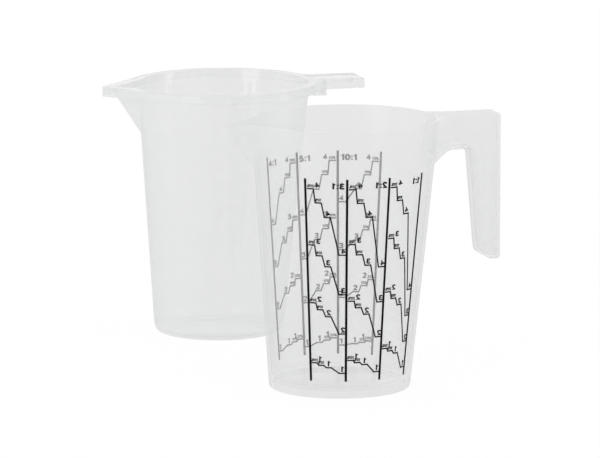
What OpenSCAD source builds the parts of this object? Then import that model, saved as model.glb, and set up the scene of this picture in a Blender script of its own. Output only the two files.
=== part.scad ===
// Resin mixing cup: a reusable jug printed with mixing ratio scales, and the clear liner that drops into it.
// Origin at the centre of the jug's foot, +Z up, handle towards +X, spout towards -X.

/* [Jug] */
// Height of the jug from foot to rim
jug_height = 170; // [140:1:200]
// Outside radius of the wall at the foot
foot_radius = 44.5; // [40:0.5:50]
// Outside radius of the wall at the rim
rim_radius = 59; // [55:0.5:64]
// Angle in degrees by which the walls lean towards the handle
wall_lean = 1.2; // [0:0.1:2.5]
// Thickness of the wall
jug_wall = 1.8; // [1.2:0.1:2.2]
// Thickness of the floor
jug_floor = 2; // [1.4:0.1:3]
// Height of the recess under the floor
foot_recess = 4; // [2:0.5:8]
// Width of the ring that the jug stands on
foot_ring = 3; // [2:0.5:6]
// Rounding of the outside edge of the foot
foot_round = 1.5; // [0.5:0.1:3]
// Rounding inside, where the wall meets the floor
floor_round = 5; // [3:0.5:8]

/* [Spout] */
// Distance of the tip from the centre of the rim
spout_reach = 78.5; // [70:0.5:80]
// Half of the angle that the mouth takes of the rim
mouth_angle = 26; // [18:1:34]
// Depth below the rim at which the keel meets the wall
spout_drop = 34; // [30:1:60]
// Rounding of the keel and the tip, outside
keel_round = 4; // [3.8:0.1:6]

/* [Handle] */
// Distance of the handle's outer face from the centre of the rim
handle_reach = 100; // [94:0.5:110]
// Height of the handle from the rim to the end of its leg
handle_height = 92; // [75:1:110]
// Width of the handle
handle_width = 22; // [18:0.5:28]
// Width of the handle's root where it meets the rim
root_width = 32; // [30:0.5:40]
// Depth of the arm next to the leg
arm_depth = 21; // [17:0.5:26]
// Depth of the arm where it meets the wall
root_depth = 27; // [26.5:0.5:32]
// Thickness of the leg under the arm, along X
leg_top = 17.5; // [14:0.5:22]
// Thickness of the leg at its end, along X
leg_end = 11.5; // [11:0.5:16]
// Wall of the hollow handle
handle_wall = 1.8; // [1.2:0.1:2.4]
// Rounding of the handle's upright outer edges
handle_round = 3; // [2.5:0.5:5]
// Rounding of the finger hold where the arm meets the leg
grip_round = 7; // [3:0.5:10]
// Share of the arm, from the wall to the leg, under which the underside rises
arch_share = 0.33; // [0.3:0.01:0.4]
// Rounding of the inner edge at the leg's end
leg_round = 6; // [2:0.5:8]

/* [Liner] */
// Wall of the liner
liner_wall = 1; // [0.8:0.1:1.2]
// Clearance between the liner and the inside of the jug
liner_gap = 0.8; // [0.4:0.1:0.8]
// Clearance between the flange and the rim when the liner sits on the jug's floor
rim_gap = 0.3; // [0.1:0.1:1]
// Thickness of the flange
flange_thickness = 1.2; // [0.8:0.1:2]
// Depth of the skirt below the flange
skirt_depth = 5; // [3:0.5:8]
// Wall of the skirt
skirt_wall = 1.2; // [0.8:0.1:1.6]
// Clearance between the skirt and the jug
skirt_gap = 0.8; // [0.4:0.1:1.5]
// Distance of the flange's pointed lip from the centre of the rim
lip_reach = 82; // [80:0.5:88]
// Rounding of the lip's point
lip_round = 4; // [3:0.5:6]
// Distance of the tab's end from the centre of the rim
tab_reach = 93; // [80:0.5:96]
// Length of the lug that drops into the hollow handle
lug_length = 8.7; // [5:0.1:12]
// Width of the lug
lug_width = 14; // [8:0.5:16]
// Depth of the lug below the skirt's edge
lug_depth = 5; // [2:0.5:10]
// Distance of the lug from the jug's rim
lug_gap = 1; // [0.5:0.1:3]
// Height of the recess under the liner's floor
liner_recess = 0.6; // [0.2:0.1:1]
// Width of the flat ring that the liner stands on
liner_ring = 2; // [1:0.5:4]
// Where the liner stands beside the jug, along X
liner_x = -22; // [-150:1:150]
// Where the liner stands beside the jug, along Y
liner_y = 200; // [135:1:300]

/* [Scales] */
// Volume in millilitres of both components together at the highest mark
full_mix = 800; // [500:10:900]
// Marks on each scale
marks = 4; // [2:1:6]
// Height of every scale's lowest mark
first_mark = 16.7; // [12:0.1:25]
// Height at which the upright lines start
line_start = 12; // [8:1:20]
// Height at which the upright lines end
line_end = 140; // [130:1:150]
// Width of the upright lines
line_width = 1.3; // [0.8:0.1:2]
// Width of the steps
step_width = 0.7; // [0.4:0.1:1]
// Angle in degrees from one upright line to the next
column_angle = 28; // [20:0.5:29]
// Angle in degrees from the handle to the first upright line
first_line = 46; // [30:1:60]
// Thickness of the printed ink
ink = 0.2; // [0.1:0.05:0.4]

/* [Hidden] */
$fn = 96;

// Spare length of a cutter past the face that it cuts
spare = 5;
// Thickness of the slices that a spout is hulled from
slice = 0.1;
// Depth inside the wall at which the beak's edges and its keel start
mouth_sink = 0.5;
// Depth inside a circle at which a straight side that meets it starts
lap = 0.1;
// Depth at which the same side ends inside the small circle of the lip's point
point_lap = 0.025;
// Length of the leaning cone past the rim, before it is cut level
cone_over = 15;
// Depth inside the rim at which the handle's outlines start
root_sink = 12;
// What the root's outline is wider there than at the rim, on each side
root_spread = 3;
// Distance from the rim at which the root's flare ends
neck_reach = 7;
// Rounding of the root's flare
flare_round = 9;
// Rounding of the arch's bend as a share of the arm's length
bend_round = 0.45;
// Rounding that an inset edge keeps at least
least_round = 0.6;
// Cubic millimetres in a millilitre
millilitre = 1000;
// Steps in the arc of a rounded corner
arc_steps = 6;
// Side of a block that is larger than the jug
block = 4 * jug_height;
// Angle from the upright of the flare above a rounded foot, steeper than any wall
foot_flare = 18;
// Turn that keeps the seam of the rounded foot away from the seam of the cone
seam_turn = 75;

floor_top = foot_recess + jug_floor;
wall_slope = (rim_radius - foot_radius) / jug_height;
rim_shift = lean_shift(jug_height);
flange_under = jug_height + rim_gap;
flange_top = flange_under + flange_thickness;
skirt_out = skirt_gap + skirt_wall;
liner_inset = jug_wall + liner_gap;

// Thinner added to the mix at each scale's last two steps
THINNER = [1, 1.1, 1.2];
// Where each step of a mark starts and ends, as shares of the column from its far line
STEPS = [[0.81, 1], [0.455, 0.6], [0.235, 0.385], [0.055, 0.2]];

function lean_shift(z) = z * tan(wall_lean);
function wall_radius(z) = foot_radius + wall_slope * z;

// Corners with arcs for an outline whose points each have a rounding
function unit(v) = v / norm(v);
function arc_at(before, at, after, round) =
    let (
        back = unit(before - at),
        ahead = unit(after - at),
        half = acos(back * ahead) / 2,
        centre = at + unit(back + ahead) * round / sin(half),
        start = at + back * round / tan(half) - centre,
        end = at + ahead * round / tan(half) - centre,
        first = atan2(start.y, start.x),
        turn = (atan2(end.y, end.x) - first + 540) % 360 - 180
    )
    [for (i = [0:arc_steps]) centre + round * [cos(first + turn * i / arc_steps), sin(first + turn * i / arc_steps)]];
function rounded(points, rounds) =
    let (n = len(points))
    [for (i = [0:n - 1])
        each rounds[i] > 0
            ? arc_at(points[(i + n - 1) % n], points[i], points[(i + 1) % n], rounds[i])
            : [points[i]]];

// A leaning cone, larger than the jug's outer wall by grow all round, cut level at both ends
module leaning_cone(grow, low, high) {
    intersection() {
        rotate([0, wall_lean, 0])
            translate([0, 0, -spare])
            cylinder(
                h = spare + jug_height + cone_over,
                r1 = wall_radius(-spare) + grow,
                r2 = wall_radius(jug_height + cone_over) + grow
            );
        translate([-block / 2, -block / 2, low])
            cube([block, block, high - low]);
    }
}

// An upright bowl that rounds the lower edge of a cup of the given radius
module rounded_foot(radius, low, high, round) {
    corner = [for (a = [0:90 / arc_steps:89 - foot_flare])
        [radius - round + round * sin(a), low + round * (1 - cos(a))]];
    rotate_extrude()
        polygon(concat(
            [[0, low]],
            corner,
            [[radius + (high - low) * tan(foot_flare), high], [0, high]]
        ));
}

// A cup with its wall inset from the jug's outer wall
module cup_form(inset, low, high, round) {
    intersection() {
        leaning_cone(-inset, low - spare / 2, high);
        rotate([0, 0, seam_turn])
            rounded_foot(wall_radius(low) - inset, low, high + spare, round);
    }
}

// The pouring beak between the mouth's two edges, the tip and the low end of the keel
module spout_form(inset, high) {
    low = jug_height - spout_drop;
    mouth = rim_radius - keel_round - mouth_sink;
    rim_points = [
        [keel_round - spout_reach, 0],
        [-mouth * cos(mouth_angle), mouth * sin(mouth_angle)],
        [-mouth * cos(mouth_angle), -mouth * sin(mouth_angle)]
    ];
    hull() {
        for (p = rim_points)
            translate([rim_shift + p.x, p.y, jug_height - slice])
                cylinder(h = high - jug_height + slice, r = keel_round - inset, $fn = 32);
        translate([lean_shift(low) - wall_radius(low) + keel_round + mouth_sink, 0, low])
            cylinder(h = slice, r = keel_round - inset, $fn = 32);
    }
}

// Outline of the handle from above, with its flared root, inset all round
function handle_plan(inset) =
    let (
        inner = rim_shift + rim_radius - root_sink,
        neck = rim_shift + rim_radius + neck_reach,
        outer = rim_shift + handle_reach - inset,
        root = root_width / 2 + root_spread - inset,
        half = handle_width / 2 - inset,
        flare = flare_round + inset,
        round = max(handle_round - inset, least_round)
    )
    rounded(
        [[inner, root], [neck, half], [outer, half], [outer, -half], [neck, -half], [inner, -root]],
        [0, flare, round, round, flare, 0]
    );

// Outline of the handle from the side, a hook with an arch and a tapering leg, inset all round
function handle_side(inset, high) =
    let (
        outer = rim_shift + handle_reach - inset,
        low = jug_height - handle_height + inset,
        arm = jug_height - arm_depth + inset,
        inner = rim_shift + rim_radius - root_sink,
        root = jug_height - root_depth,
        wall = lean_shift(root) + wall_radius(root),
        arm_length = rim_shift + handle_reach - leg_top - wall,
        rise = arch_share * arm_length,
        slope = (root_depth - arm_depth) / rise,
        bend = wall + rise - inset * tan(atan(slope) / 2)
    )
    rounded(
        [
            [inner, high],
            [outer, high],
            [outer, low],
            [outer + 2 * inset - leg_end, low],
            [outer + 2 * inset - leg_top, arm],
            [bend, arm],
            [inner, arm - slope * (bend - inner)]
        ],
        [
            0,
            0,
            max(handle_round - inset, least_round),
            max(leg_round - inset, least_round),
            grip_round + inset,
            bend_round * arm_length + inset,
            0
        ]
    );

module handle_form(inset, high) {
    intersection() {
        rotate([90, 0, 0])
            linear_extrude(height = 2 * root_width, center = true)
            polygon(handle_side(inset, high));
        linear_extrude(height = jug_height + spare)
            polygon(handle_plan(inset));
    }
}

module jug() {
    color([0.88, 0.9, 0.92, 0.6])
    difference() {
        union() {
            cup_form(0, 0, jug_height, foot_round);
            spout_form(0, jug_height);
            handle_form(0, jug_height);
        }
        cup_form(jug_wall, floor_top, jug_height + spare, floor_round);
        spout_form(jug_wall, jug_height + spare);
        difference() {
            handle_form(handle_wall, jug_height + spare);
            leaning_cone(0, 0, jug_height + spare);
        }
        translate([0, 0, -spare])
            cylinder(h = foot_recess + spare, r = foot_radius - foot_ring);
    }
}

// Outline of the flange: the rim, the pointed lip and the tab over the handle, inset all round
module flange_outline(inset) {
    ring = rim_radius + skirt_out - inset;
    tip = lip_round - inset;
    apart = lip_reach - lip_round;
    touch = acos((rim_radius + skirt_out - lip_round) / apart);
    ring_lap = ring - lap;
    tip_lap = tip - point_lap;
    translate([rim_shift, 0]) {
        circle(r = ring);
        translate([-apart, 0])
            circle(r = tip);
        polygon([
            [-ring_lap * cos(touch), ring_lap * sin(touch)],
            [-apart - tip_lap * cos(touch), tip_lap * sin(touch)],
            [-apart - tip_lap * cos(touch), -tip_lap * sin(touch)],
            [-ring_lap * cos(touch), -ring_lap * sin(touch)]
        ]);
    }
    intersection() {
        polygon(handle_plan(inset - skirt_out));
        translate([0, -root_width])
            square([rim_shift + tab_reach, 2 * root_width]);
    }
}

module liner() {
    skirt_low = flange_under - skirt_depth;
    floor_thickness = liner_wall + liner_recess;
    color([0.9, 0.93, 0.95, 0.4])
    translate([liner_x, liner_y, -floor_top])
    difference() {
        union() {
            cup_form(liner_inset, floor_top, flange_top, floor_round);
            spout_form(liner_inset, flange_top);
            translate([0, 0, flange_under])
                linear_extrude(height = flange_thickness)
                flange_outline(0);
            difference() {
                translate([0, 0, skirt_low])
                    linear_extrude(height = skirt_depth)
                    difference() {
                        flange_outline(0);
                        flange_outline(skirt_wall);
                    }
                translate([rim_shift + rim_radius, -handle_width / 2 - skirt_gap, skirt_low - spare])
                    cube([handle_reach, handle_width + 2 * skirt_gap, skirt_depth + spare]);
            }
            translate([rim_shift + rim_radius + lug_gap, -lug_width / 2, skirt_low - lug_depth])
                cube([lug_length, lug_width, skirt_depth + lug_depth]);
        }
        cup_form(liner_inset + liner_wall, floor_top + floor_thickness, flange_top + spare, floor_round);
        spout_form(liner_inset + liner_wall, flange_top + spare);
        translate([0, 0, floor_top - spare])
            cylinder(
                h = liner_recess + spare,
                r = wall_radius(floor_top) - liner_inset - floor_round - liner_ring
            );
        translate([
            rim_shift + rim_radius + lug_gap + skirt_wall,
            skirt_wall - lug_width / 2,
            skirt_low - lug_depth - spare
        ])
            cube([lug_length - 2 * skirt_wall, lug_width - 2 * skirt_wall, skirt_depth + lug_depth + spare]);
    }
}

// Volume in the jug up to a height, and the height that a volume reaches, both in millimetres
inner_foot = wall_radius(floor_top) - jug_wall;
function volume_at(z) =
    PI / (3 * wall_slope) * (pow(inner_foot + wall_slope * (z - floor_top), 3) - pow(inner_foot, 3));
function level_of(volume) =
    floor_top + (pow(pow(inner_foot, 3) + 3 * wall_slope * volume / PI, 1 / 3) - inner_foot) / wall_slope;

// A point of a scale, by its share of the column and its height, seen square to the column
function on_column(middle, share, z) =
    [
        (wall_radius(z) + lean_shift(z) * cos(middle)) * sin((share - 0.5) * column_angle),
        z
    ];

// The steps of one mark: the first component, the mix, and the mix with each share of thinner
function mark_points(ratio, middle, mark) =
    let (
        mix_full = full_mix * millilitre,
        base_full = level_of(mix_full * ratio / (ratio + 1)),
        base = first_mark + (base_full - first_mark) * mark / (marks - 1),
        mix = volume_at(base) * (ratio + 1) / ratio,
        heights = concat([base], [for (t = THINNER) level_of(mix * t)])
    )
    [for (i = [0:len(STEPS) - 1])
        each [
            on_column(middle, STEPS[i][1], heights[i]),
            on_column(middle, STEPS[i][0], heights[i])
        ]];

// A straight line of ink between two points
module stroke(start, end, width) {
    along = unit(end - start) * width / 2;
    across = [-along.y, along.x];
    polygon([start - along + across, end + along + across, end + along - across, start - along - across]);
}

module upright_line(middle, share) {
    stroke(on_column(middle, share, line_start), on_column(middle, share, line_end), line_width);
}

// One scale: its upright line, the line that closes its group of three, and its marks
module scale(ratio, middle, closes_group) {
    color("black")
    intersection() {
        difference() {
            leaning_cone(ink, 0, jug_height);
            leaning_cone(0, -spare, jug_height + spare);
        }
        rotate([90, 0, middle + 90])
            linear_extrude(height = 2 * rim_radius)
            union() {
                upright_line(middle, 1);
                if (closes_group)
                    upright_line(middle, 0);
                for (mark = [0:marks - 1]) {
                    points = mark_points(ratio, middle, mark);
                    for (i = [1:len(points) - 1])
                        stroke(points[i - 1], points[i], step_width);
                }
            }
    }
}

// Middle of a column, counted from the handle round either side of the jug
function column_middle(index) = first_line + column_angle * (index + 0.5);

jug();
liner();
scale(1, -column_middle(0), false);  // scale_1_to_1
scale(2, -column_middle(1), false);  // scale_2_to_1
scale(3, -column_middle(2), true);  // scale_3_to_1
scale(4, column_middle(2), false);  // scale_4_to_1
scale(5, column_middle(1), false);  // scale_5_to_1
scale(10, column_middle(0), true);  // scale_10_to_1
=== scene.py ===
import math
import bmesh
import bpy
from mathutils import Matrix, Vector


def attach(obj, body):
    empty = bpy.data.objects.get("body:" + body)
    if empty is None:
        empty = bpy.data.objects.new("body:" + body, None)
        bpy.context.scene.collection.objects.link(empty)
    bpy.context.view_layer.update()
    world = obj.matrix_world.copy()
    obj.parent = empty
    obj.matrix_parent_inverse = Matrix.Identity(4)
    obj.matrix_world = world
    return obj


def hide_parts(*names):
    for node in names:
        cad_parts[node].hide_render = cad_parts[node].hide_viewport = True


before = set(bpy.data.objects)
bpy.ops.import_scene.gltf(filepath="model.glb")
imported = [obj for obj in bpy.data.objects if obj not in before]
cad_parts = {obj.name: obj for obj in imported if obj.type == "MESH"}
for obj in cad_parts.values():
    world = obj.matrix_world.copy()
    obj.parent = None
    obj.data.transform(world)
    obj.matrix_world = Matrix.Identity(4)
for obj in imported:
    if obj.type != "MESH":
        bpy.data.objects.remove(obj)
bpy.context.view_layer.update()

# Floor and daylight
# A white table under a white studio sweep, lit evenly by the sky of the studio and by
# three large soft lamps.
def add_node(tree, kind, settings=None, links=None):
    node = tree.nodes.new(kind)
    for name, value in (settings or {}).items():
        if isinstance(name, str) and hasattr(node, name):
            setattr(node, name, value)
        else:
            node.inputs[name].default_value = value
    for socket, source in (links or {}).items():
        tree.links.new(source, node.inputs[socket])
    return node


def linear(hex_colour):
    channels = [int(hex_colour[i:i + 2], 16) / 255 for i in (0, 2, 4)]
    return [c / 12.92 if c <= 0.04045 else ((c + 0.055) / 1.055) ** 2.4 for c in channels] + [1]


# The backdrop is pure white beside the object, and the pale grey of the studio wall
# where the plastic shows or reflects it.
STUDIO_WHITE = 1.0
STUDIO_GREY = 0.8


def seen_by_eye(tree):
    path = add_node(tree, "ShaderNodeLightPath")
    camera_or_glossy = add_node(
        tree, "ShaderNodeMath", {"operation": "MAXIMUM"},
        {0: path.outputs["Is Camera Ray"], 1: path.outputs["Is Glossy Ray"]})
    seen = add_node(
        tree, "ShaderNodeMath", {"operation": "MAXIMUM"},
        {0: camera_or_glossy.outputs[0], 1: path.outputs["Is Transmission Ray"]})
    beside = add_node(
        tree, "ShaderNodeMath", {"operation": "SUBTRACT", "use_clamp": True},
        {0: path.outputs["Is Camera Ray"], 1: path.outputs["Transparent Depth"]})
    strength = add_node(
        tree, "ShaderNodeMapRange",
        {"From Min": 0.0, "From Max": 1.0, "To Min": STUDIO_GREY, "To Max": STUDIO_WHITE},
        {"Value": beside.outputs[0]})
    return seen.outputs[0], strength.outputs[0]


scene = bpy.context.scene
scene.view_settings.view_transform = "Standard"
# A line of sight through both vessels crosses more see-through surfaces than the
# default number of bounces allows.
SURFACES_IN_SIGHT = 32
scene.cycles.transparent_max_bounces = SURFACES_IN_SIGHT
world = bpy.data.worlds.new("studio")
world.use_nodes = True
tree = world.node_tree
tree.nodes.clear()
STUDIO_LIGHT = 1.0
lit = add_node(tree, "ShaderNodeBackground", {"Strength": STUDIO_LIGHT})
lit.inputs["Color"].default_value = linear("ffffff")
seen, strength = seen_by_eye(tree)
shown = add_node(tree, "ShaderNodeBackground", {}, {"Strength": strength})
shown.inputs["Color"].default_value = linear("ffffff")
blend = add_node(
    tree, "ShaderNodeMixShader", {}, {0: seen, 1: lit.outputs[0], 2: shown.outputs[0]})
add_node(tree, "ShaderNodeOutputWorld", {}, {"Surface": blend.outputs[0]})
scene.world = world

# The table's matt white paper takes the soft shadow of the vessels.
PAPER_WHITE = "f4f4f4"
PAPER_GLOW = 0.9
FLOOR_SIZE = 12.0
floor_mesh = bpy.data.meshes.new("floor")
shape = bmesh.new()
bmesh.ops.create_grid(shape, x_segments=1, y_segments=1, size=FLOOR_SIZE / 2)
shape.to_mesh(floor_mesh)
shape.free()
floor = bpy.data.objects.new("floor", floor_mesh)
scene.collection.objects.link(floor)
paper = bpy.data.materials.new("white_paper")
paper.use_nodes = True
tree = paper.node_tree
tree.nodes.clear()
matt = add_node(tree, "ShaderNodeBsdfDiffuse")
matt.inputs["Color"].default_value = linear(PAPER_WHITE)
seen, strength = seen_by_eye(tree)
glow = add_node(tree, "ShaderNodeEmission", {}, {"Strength": strength})
mostly = add_node(tree, "ShaderNodeMath", {"operation": "MULTIPLY", 1: PAPER_GLOW}, {0: seen})
blend = add_node(
    tree, "ShaderNodeMixShader", {},
    {0: mostly.outputs[0], 1: matt.outputs[0], 2: glow.outputs[0]})
add_node(tree, "ShaderNodeOutputMaterial", {}, {"Surface": blend.outputs[0]})
floor_mesh.materials.append(paper)

# The low lamp at the back shows as a light strip along the level rims and the handle.
BETWEEN_VESSELS = Vector((0, 0.05, 0.1))


def soft_lamp(name, place, size, watts):
    data = bpy.data.lights.new(name, "AREA")
    data.shape = "RECTANGLE"
    data.size, data.size_y = size
    data.energy = watts
    lamp = bpy.data.objects.new(name, data)
    lamp.location = place
    lamp.rotation_euler = (BETWEEN_VESSELS - Vector(place)).to_track_quat("-Z", "Y").to_euler()
    scene.collection.objects.link(lamp)


soft_lamp("left_softbox", (-1.6, -0.9, 1.2), (1.0, 1.4), 7)
soft_lamp("right_softbox", (1.8, -0.6, 0.9), (0.5, 1.4), 4)
soft_lamp("back_softbox", (0.55, 1.8, 0.45), (1.8, 0.5), 2.4)

# Camera
# It stands far off with a long lens, a little above the rim, with the handle to the
# right, and the middle of the jug falls on the same point of the frame as in the photo.
AZIMUTH = math.radians(-16.7)
ELEVATION = math.radians(10.0)
DISTANCE = 3.9
FOCAL_PIXELS = 6200
PHOTO_WIDTH = 600
PHOTO_HEIGHT = 458
JUG_CENTRE_X = 339.5
JUG_CENTRE_Y = 252.5
JUG_MIDDLE = Vector((0, 0, 0.085))
SENSOR_WIDTH = 36
FARTHEST = 50
sight = Vector((
    math.sin(AZIMUTH) * math.cos(ELEVATION),
    -math.cos(AZIMUTH) * math.cos(ELEVATION),
    math.sin(ELEVATION)))
across = Vector((math.cos(AZIMUTH), math.sin(AZIMUTH), 0))
upward = sight.cross(across)
pixel = DISTANCE / FOCAL_PIXELS
aim = JUG_MIDDLE - across * (JUG_CENTRE_X - PHOTO_WIDTH / 2) * pixel
aim = aim + upward * (JUG_CENTRE_Y - PHOTO_HEIGHT / 2) * pixel
camera_data = bpy.data.cameras.new("camera")
camera_data.sensor_width = SENSOR_WIDTH
camera_data.lens = camera_data.sensor_width * FOCAL_PIXELS / PHOTO_WIDTH
camera_data.clip_end = FARTHEST
camera = bpy.data.objects.new("camera", camera_data)
camera.location = aim + sight * DISTANCE
camera.rotation_euler = sight.to_track_quat("Z", "Y").to_euler()
scene.collection.objects.link(camera)
scene.camera = camera


# Plastics
# Both vessels are injection-moulded polypropylene. It lets most light straight through
# and scatters the rest, so every wall in the line of sight adds a little white.
MM = 0.001
COVER_SPREAD = 0.08
PEEL_STRENGTH = 0.15
PEEL_HEIGHT = 0.2 * MM
MIRROR_AHEAD = 0.03
MIRROR_ASLANT = 0.25
MIRROR_RISE = 4


def see_through(name, colour, cover, edge_cover, roughness, flow_mm):
    material = bpy.data.materials.new(name)
    material.use_nodes = True
    tree = material.node_tree
    tree.nodes.clear()
    place = add_node(tree, "ShaderNodeTexCoord")
    flow = add_node(
        tree, "ShaderNodeTexNoise",
        {"Scale": 1 / (flow_mm * MM), "Detail": 3, "Roughness": 0.6},
        {"Vector": place.outputs["Object"]})
    orange_peel = add_node(
        tree, "ShaderNodeBump", {"Strength": PEEL_STRENGTH, "Distance": PEEL_HEIGHT},
        {"Height": flow.outputs[0]})
    cover_here = add_node(
        tree, "ShaderNodeMapRange",
        {"From Min": 0.3, "From Max": 0.7,
         "To Min": cover * (1 - COVER_SPREAD), "To Max": cover * (1 + COVER_SPREAD)},
        {"Value": flow.outputs[0]})
    edge = add_node(tree, "ShaderNodeLayerWeight", {"Blend": 0.5})
    added_aslant = add_node(
        tree, "ShaderNodeMath", {"operation": "MULTIPLY", 1: edge_cover},
        {0: edge.outputs["Facing"]})
    full_cover = add_node(
        tree, "ShaderNodeMath", {"operation": "ADD", "use_clamp": True},
        {0: cover_here.outputs[0], 1: added_aslant.outputs[0]})
    reflected = add_node(tree, "ShaderNodeBsdfDiffuse", {}, {"Normal": orange_peel.outputs[0]})
    reflected.inputs["Color"].default_value = linear(colour)
    passed = add_node(tree, "ShaderNodeBsdfTranslucent", {}, {"Normal": orange_peel.outputs[0]})
    passed.inputs["Color"].default_value = linear(colour)
    scattered = add_node(
        tree, "ShaderNodeMixShader", {0: 0.5}, {1: reflected.outputs[0], 2: passed.outputs[0]})
    straight = add_node(tree, "ShaderNodeBsdfTransparent")
    body = add_node(
        tree, "ShaderNodeMixShader", {},
        {0: full_cover.outputs[0], 1: straight.outputs[0], 2: scattered.outputs[0]})
    shine = add_node(
        tree, "ShaderNodeBsdfGlossy", {"Roughness": roughness},
        {"Normal": orange_peel.outputs[0]})
    slant = add_node(
        tree, "ShaderNodeMath", {"operation": "POWER", 1: MIRROR_RISE},
        {0: edge.outputs["Facing"]})
    mirror = add_node(
        tree, "ShaderNodeMapRange",
        {"From Min": 0.0, "From Max": 1.0, "To Min": MIRROR_AHEAD, "To Max": MIRROR_ASLANT},
        {"Value": slant.outputs[0]})
    surface = add_node(
        tree, "ShaderNodeMixShader", {},
        {0: mirror.outputs[0], 1: body.outputs[0], 2: shine.outputs[0]})
    add_node(tree, "ShaderNodeOutputMaterial", {}, {"Surface": surface.outputs[0]})
    return material


# The jug's milky grade has a satin surface, which blurs what it reflects. The flow of the
# melt leaves faint clouds about 11 mm across.
milky = see_through("milky_polypropylene", "fafbfb", 0.12, 0.05, 0.2, 11.1)
# The liner's clear grade has a smooth surface and sharper reflections, with wider clouds.
clear = see_through("clear_polypropylene", "f8f9f9", 0.16, 0.12, 0.06, 16.7)
# The black screen-printing ink dries matt, with the faint grain of the screen, drawn
# 0.4 mm wide, coarser than real, so that it shows.
INK_ROUGHNESS = 0.6
INK_SHINE = 0.08
GRAIN_MM = 0.4
INK_DARK = "020202"
INK_LIGHT = "0c0c0d"
ink = bpy.data.materials.new("screen_ink")
ink.use_nodes = True
tree = ink.node_tree
shader = tree.nodes["Principled BSDF"]
shader.inputs["Roughness"].default_value = INK_ROUGHNESS
shader.inputs["Specular IOR Level"].default_value = INK_SHINE
place = add_node(tree, "ShaderNodeTexCoord")
mesh_grain = add_node(
    tree, "ShaderNodeTexNoise", {"Scale": 1 / (GRAIN_MM * MM), "Detail": 2},
    {"Vector": place.outputs["Object"]})
tone = add_node(tree, "ShaderNodeValToRGB", {}, {"Fac": mesh_grain.outputs[0]})
tone.color_ramp.elements[0].color = linear(INK_DARK)
tone.color_ramp.elements[1].color = linear(INK_LIGHT)
tree.links.new(tone.outputs[0], shader.inputs["Base Color"])

finishes = {"jug": milky, "liner": clear}
for name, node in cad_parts.items():
    node.data.materials.clear()
    node.data.materials.append(finishes.get(name, ink))


# Jug and liner
# Each vessel is one thin moulding. The mould's sharp corners are broken by a small radius,
# which catches the light along the rims, the handle and the flange.
TOUCHING = 0.002 * MM
FLAT_ANGLE = math.radians(0.3)
CORNER_ANGLE = math.radians(50)
SMOOTH_ANGLE = math.radians(35)
JUG_CORNER = 0.3 * MM
LINER_CORNER = 0.2 * MM


def merged_copy(name):
    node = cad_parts[name]
    shape = bmesh.new()
    shape.from_mesh(node.data)
    shape.transform(node.matrix_world)
    bmesh.ops.remove_doubles(shape, verts=shape.verts, dist=TOUCHING)
    bmesh.ops.dissolve_degenerate(shape, edges=shape.edges, dist=TOUCHING)
    return shape


def finished_piece(shape, name, material):
    mesh = bpy.data.meshes.new(name)
    shape.to_mesh(mesh)
    shape.free()
    mesh.materials.append(material)
    piece = bpy.data.objects.new(name, mesh)
    scene.collection.objects.link(piece)
    return piece


def with_broken_edges(name, radius, material):
    shape = merged_copy(name)
    bmesh.ops.dissolve_limit(
        shape, angle_limit=FLAT_ANGLE, verts=shape.verts, edges=shape.edges)
    sharp = [
        e for e in shape.edges
        if len(e.link_faces) == 2 and e.calc_face_angle() > CORNER_ANGLE
        and e.calc_length() > 2 * radius]
    bmesh.ops.bevel(
        shape, geom=sharp, offset=radius, segments=2, profile=0.5, affect="EDGES",
        material=-1, clamp_overlap=True)
    bmesh.ops.recalc_face_normals(shape, faces=shape.faces)
    for face in shape.faces:
        face.smooth = True
    for edge in shape.edges:
        edge.smooth = len(edge.link_faces) == 2 and edge.calc_face_angle() < SMOOTH_ANGLE
    piece = finished_piece(shape, name + "_moulding", material)
    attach(piece, name)
    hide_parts(name)


with_broken_edges("jug", JUG_CORNER, milky)
with_broken_edges("liner", LINER_CORNER, clear)


# Printed lines
# The six scales are screen-printed in black ink on the jug's outside, and the ink spreads
# a little as it dries. Each column has its ratio and its angle in degrees round the jug.
COLUMNS = {
    "1_to_1": (1, -60), "2_to_1": (2, -88), "3_to_1": (3, -116),
    "4_to_1": (4, 116), "5_to_1": (5, 88), "10_to_1": (10, 60)}
LEAN = math.tan(math.radians(1.2))
INK_SPREAD = 0.08 * MM
FACING_OUT = 0.5
SAME_SIDE = 0.98
LEAST_MITRE = 0.4


def with_spread_ink(name):
    shape = merged_copy(name)
    shape.normal_update()
    places = []
    for vert in shape.verts:
        outward = Vector((vert.co.x - LEAN * vert.co.z, vert.co.y, 0)).normalized()
        sides = []
        for face in vert.link_faces:
            is_new = all(face.normal.dot(side) < SAME_SIDE for side in sides)
            if is_new and abs(face.normal.dot(outward)) < FACING_OUT:
                sides.append(face.normal.copy())
        offset = sum(sides, Vector((0, 0, 0)))
        if len(sides) == 2:
            offset = offset / max(1 + sides[0].dot(sides[1]), LEAST_MITRE)
        elif len(sides) > 2:
            offset = offset.normalized()
        places.append(vert.co + offset * INK_SPREAD)
    for vert, place in zip(shape.verts, places):
        vert.co = place
    bmesh.ops.recalc_face_normals(shape, faces=shape.faces)
    piece = finished_piece(shape, name.replace("scale", "lines"), ink)
    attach(piece, "jug")
    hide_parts(name)


for column in COLUMNS:
    with_spread_ink("scale_" + column)


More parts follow.
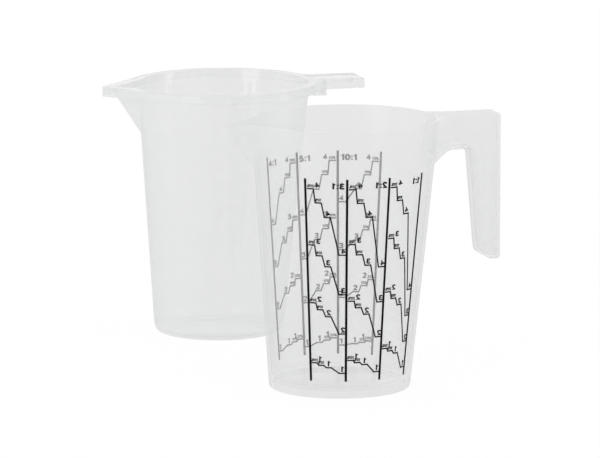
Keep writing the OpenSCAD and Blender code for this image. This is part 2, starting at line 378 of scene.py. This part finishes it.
# Figures
# The figures are screen-printed with the scales, to be read from inside through the
# plastic, so they are mirrored from outside. The sizes in millimetres repeat the jug's,
# so that each figure stands on its own mark.
FOOT_RADIUS = 44.5
RIM_RADIUS = 59
JUG_HEIGHT = 170
WALL_SLOPE = (RIM_RADIUS - FOOT_RADIUS) / JUG_HEIGHT
JUG_WALL = 1.8
FLOOR_TOP = 6
FULL_MIX = 800
MILLILITRE = 1000
FIRST_MARK = 16.7
MARKS = 4
COLUMN_ANGLE = math.radians(28)
STEPS = ((0.81, 1), (0.455, 0.6), (0.235, 0.385), (0.055, 0.2))
THINNER = (1, 1.1, 1.2)
INNER_FOOT = FOOT_RADIUS + WALL_SLOPE * FLOOR_TOP - JUG_WALL


def volume_at(z):
    radius = INNER_FOOT + WALL_SLOPE * (z - FLOOR_TOP)
    return math.pi / (3 * WALL_SLOPE) * (radius ** 3 - INNER_FOOT ** 3)


def level_of(volume):
    grown = (INNER_FOOT ** 3 + 3 * WALL_SLOPE * volume / math.pi) ** (1 / 3)
    return FLOOR_TOP + (grown - INNER_FOOT) / WALL_SLOPE


def mark_heights(ratio, mark):
    highest = level_of(FULL_MIX * MILLILITRE * ratio / (ratio + 1))
    base = FIRST_MARK + (highest - FIRST_MARK) * mark / (MARKS - 1)
    mix = volume_at(base) * (ratio + 1) / ratio
    return [base] + [level_of(mix * share) for share in THINNER]


def across_column(middle, share, z):
    radius = FOOT_RADIUS + WALL_SLOPE * z + LEAN * z * math.cos(middle)
    return radius * math.sin((share - 0.5) * COLUMN_ANGLE)


def on_wall(middle, u, z, proud):
    shift = LEAN * z
    radius = FOOT_RADIUS + WALL_SLOPE * z + proud
    out = math.sqrt(radius ** 2 - (u + shift * math.sin(middle)) ** 2) + shift * math.cos(middle)
    return Vector((
        (out * math.cos(middle) - u * math.sin(middle)) * MM,
        (out * math.sin(middle) + u * math.cos(middle)) * MM,
        z * MM))


DIGIT_HEIGHT = 3.3
SHARE_HEIGHT = 1.8
RATIO_HEIGHT = 3.7
DIGIT_BOLD = 0.24
SHARE_BOLD = 0.24
RATIO_BOLD = 0.27
BROADER = 1.25
DIGIT_LIFT = 0.95
BESIDE_STEP = 0.285
SHARPEST_TURN = 0.55
LOOP_POINTS = 14
INK_THICKNESS = 0.15
RATIO_BASE = 134.6
RATIO_GAP = 1.8


def round_loop(x, y, wide, high):
    turns = [math.tau * i / LOOP_POINTS for i in range(LOOP_POINTS)]
    return [(x + wide * math.cos(a), y + high * math.sin(a)) for a in turns]


# Each figure is drawn by the middle lines of its strokes in a cell one high. A line
# marked as closed joins its own start.
GLYPHS = {
    "0": (0.74, [(True, round_loop(0.3, 0.5, 0.24, 0.42))]),
    "1": (0.62, [(False, [(0.1, 0.72), (0.36, 0.9), (0.36, 0.0)])]),
    "2": (0.74, [(False, [
        (0.06, 0.7), (0.12, 0.85), (0.29, 0.92), (0.46, 0.85), (0.51, 0.7),
        (0.43, 0.5), (0.08, 0.09), (0.56, 0.09)])]),
    "3": (0.74, [(False, [
        (0.07, 0.76), (0.15, 0.88), (0.3, 0.92), (0.45, 0.86), (0.49, 0.72), (0.41, 0.57),
        (0.26, 0.52), (0.42, 0.46), (0.52, 0.31), (0.47, 0.15), (0.31, 0.08), (0.14, 0.12),
        (0.05, 0.26)])]),
    "4": (0.76, [(False, [(0.42, 0.0), (0.42, 0.88), (0.06, 0.3), (0.62, 0.3)])]),
    "5": (0.74, [(False, [
        (0.52, 0.91), (0.16, 0.91), (0.11, 0.52), (0.3, 0.6), (0.47, 0.52), (0.53, 0.34),
        (0.46, 0.15), (0.28, 0.08), (0.07, 0.17)])]),
    ":": (0.36, [(False, [(0.14, 0.06), (0.14, 0.28)]), (False, [(0.14, 0.56), (0.14, 0.78)])]),
    "%": (0.94, [
        (False, [(0.16, 0.0), (0.68, 1.0)]),
        (True, round_loop(0.17, 0.76, 0.12, 0.16)), (True, round_loop(0.67, 0.24, 0.12, 0.16))]),
}


def stroke_sides(points, closed, width):
    sides = []
    count = len(points)
    for i, (x, y) in enumerate(points):
        before = points[i - 1] if i or closed else None
        after = points[(i + 1) % count] if i < count - 1 or closed else None
        into = Vector((x - before[0], y - before[1])).normalized() if before else None
        out = Vector((after[0] - x, after[1] - y)).normalized() if after else None
        along = ((into or out) + (out or into)).normalized()
        mitre = max(along.dot(into or out), SHARPEST_TURN)
        aside = Vector((-along.y, along.x)) * width / 2 / mitre
        sides.append((Vector((x, y)) + aside, Vector((x, y)) - aside))
    return sides


def add_stroke(shape, points, closed, width, placed):
    rows = []
    for left, right in stroke_sides(points, closed, width):
        rows.append([shape.verts.new(placed(p, proud)) for p, proud in (
            (left, 0), (left, INK_THICKNESS), (right, INK_THICKNESS), (right, 0))])
    pairs = list(zip(rows, rows[1:])) + ([(rows[-1], rows[0])] if closed else [])
    for near, far in pairs:
        for i in range(4):
            shape.faces.new((near[i], near[i - 1], far[i - 1], far[i]))
    if not closed:
        shape.faces.new(rows[0])
        shape.faces.new(reversed(rows[-1]))


def add_words(shape, words, height, bold, broader, side, middle, u, base):
    length = sum(GLYPHS[c][0] for c in words)
    start = 0 if side == "LEFT" else -length / 2
    for c in words:
        advance, strokes = GLYPHS[c]
        for closed, points in strokes:
            add_stroke(
                shape, points, closed, bold,
                lambda p, proud: on_wall(
                    middle, u - (start + p.x) * height * broader, base + p.y * height, proud))
        start = start + advance


for column, (ratio, degrees) in COLUMNS.items():
    middle = math.radians(degrees)
    shape = bmesh.new()
    label_at = across_column(middle, 1, RATIO_BASE) - RATIO_GAP
    ratio_words = column.replace("_to_", ":")
    add_words(
        shape, ratio_words, RATIO_HEIGHT, RATIO_BOLD, BROADER, "LEFT", middle, label_at, RATIO_BASE)
    for mark in range(MARKS):
        heights = mark_heights(ratio, mark)
        digit = str(mark + 1)
        centres = [across_column(middle, (a + b) / 2, z) for (a, b), z in zip(STEPS, heights)]
        centres.append(across_column(middle, BESIDE_STEP, heights[3]))
        lines = [z + DIGIT_LIFT for z in heights + heights[3:]]
        for words, u, base in zip((digit, digit, "10%", "20%", digit), centres, lines):
            small = words.endswith("%")
            add_words(
                shape, words, SHARE_HEIGHT if small else DIGIT_HEIGHT,
                SHARE_BOLD if small else DIGIT_BOLD, 1.0 if small else BROADER,
                "CENTER", middle, u, base)
    bmesh.ops.recalc_face_normals(shape, faces=shape.faces)
    piece = finished_piece(shape, "figures_" + column, ink)
    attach(piece, "jug")
